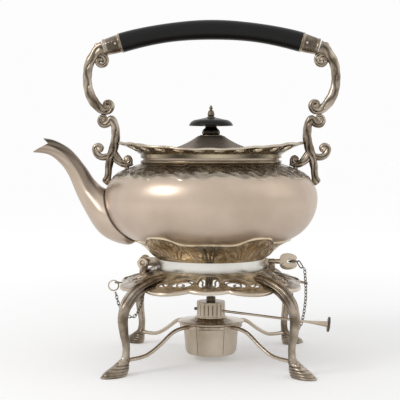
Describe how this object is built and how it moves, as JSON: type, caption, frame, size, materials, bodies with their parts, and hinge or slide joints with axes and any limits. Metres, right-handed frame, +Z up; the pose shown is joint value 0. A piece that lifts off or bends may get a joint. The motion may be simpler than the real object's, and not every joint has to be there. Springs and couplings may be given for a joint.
{
  "type": "spirit kettle on stand",
  "caption": "Silver spirit kettle with swan-neck spout, overhead handle and hinged lid, tilting on a cabriole-legged stand with chained pins and a lift-out spirit burner.",
  "frame": {"origin": "point on the table under the stand's centre, on the stand's vertical axis", "axes": "+Z up; -X towards the spout, +X towards the locking pin; +Y towards the back"},
  "size_m": [0.3072, 0.212, 0.339],
  "materials": {
    "silver": "aged silver plate, polished on the high parts and dark in the recesses",
    "gilded_silver": "worn gilding over silver",
    "ebonised_wood": "black, satin",
    "cotton": "twisted wick"
  },
  "bodies": {
    "stand": {"seat_ring": "silver", "apron": "silver", "rear_right_leg": "silver", "rear_left_leg": "silver", "front_left_leg": "silver", "front_right_leg": "silver", "rear_right_lamp_bar": "silver", "rear_left_lamp_bar": "silver", "front_left_lamp_bar": "silver", "front_right_lamp_bar": "silver", "lamp_ring": "silver", "stand_hinge_knuckles": "silver", "lock_sleeve": "silver", "left_eyelet": "silver", "left_chain_ring": "silver", "right_eyelet": "silver", "left_chain": "silver", "right_chain": "silver"},
    "kettle": {"bowl": "silver", "bowl_floor": "silver", "neck": "silver", "kettle_foot": "gilded_silver", "foot_band": "silver", "spout": "silver", "neck_bead": "gilded_silver", "gallery": "silver", "lid_hinge_pin": "silver", "lid_hinge_knuckles": "silver", "ferrule_pins": "silver", "grip": "ebonised_wood", "left_ferrule": "silver", "right_ferrule": "silver", "left_handle_scroll": "silver", "right_handle_scroll": "silver", "left_handle_bracket": "silver", "right_handle_bracket": "silver", "kettle_hinge_knuckle": "silver", "lock_lug": "silver"},
    "lid": {"lid": "silver", "lid_bezel": "silver", "lid_hinge_leaf": "silver", "finial_stud": "silver", "finial_nut": "silver", "finial_collar": "silver", "finial_disc": "ebonised_wood"},
    "hinge_pin": {"hinge_pin": "silver"},
    "lock_pin": {"lock_pin": "silver", "lock_pin_heart": "silver", "lock_pin_links": "silver"},
    "burner": {"font": "silver", "burner_cover": "silver", "burner_collar": "silver", "wick_tube": "silver", "collar_rivet": "silver"},
    "regulator": {"regulator_rod": "silver", "wick_wheel": "silver", "regulator_disc": "silver"},
    "wick": {"wick": "cotton"}
  },
  "joints": [
    {"name": "kettle_tilt", "type": "hinge", "parent": "stand", "child": "kettle", "pos_m": [-0.0675, 0, 0.098], "axis": [0, -1, 0], "range_deg": [0, 50]},
    {"name": "lid_open", "type": "hinge", "parent": "kettle", "child": "lid", "pos_m": [0.0661, 0, 0.20964], "axis": [0, 1, 0], "range_deg": [0, 50]},
    {"name": "hinge_pin_draw", "type": "slide", "parent": "stand", "child": "hinge_pin", "axis": [0, 1, 0], "range_m": [0, 0.03], "deforming": ["left_chain"]},
    {"name": "lock_pin_draw", "type": "slide", "parent": "stand", "child": "lock_pin", "axis": [1, 0, 0], "range_m": [0, 0.025], "deforming": ["right_chain"]},
    {"name": "burner_lift", "type": "slide", "parent": "stand", "child": "burner", "axis": [0, 0, 1], "range_m": [0, 0.02]},
    {"name": "regulator_turn", "type": "hinge", "parent": "burner", "child": "regulator", "pos_m": [0, -0.0074, 0.051], "axis": [0.9925, 0, -0.1219], "range_deg": [0, 135]},
    {"name": "wick_raise", "type": "slide", "parent": "burner", "child": "wick", "axis": [0, 0, 1], "range_m": [0, 0.0081]}
  ],
  "couplings": [
    {"joint": "wick_raise", "follows": "regulator_turn", "m_per_rad": 0.0034}
  ]
}
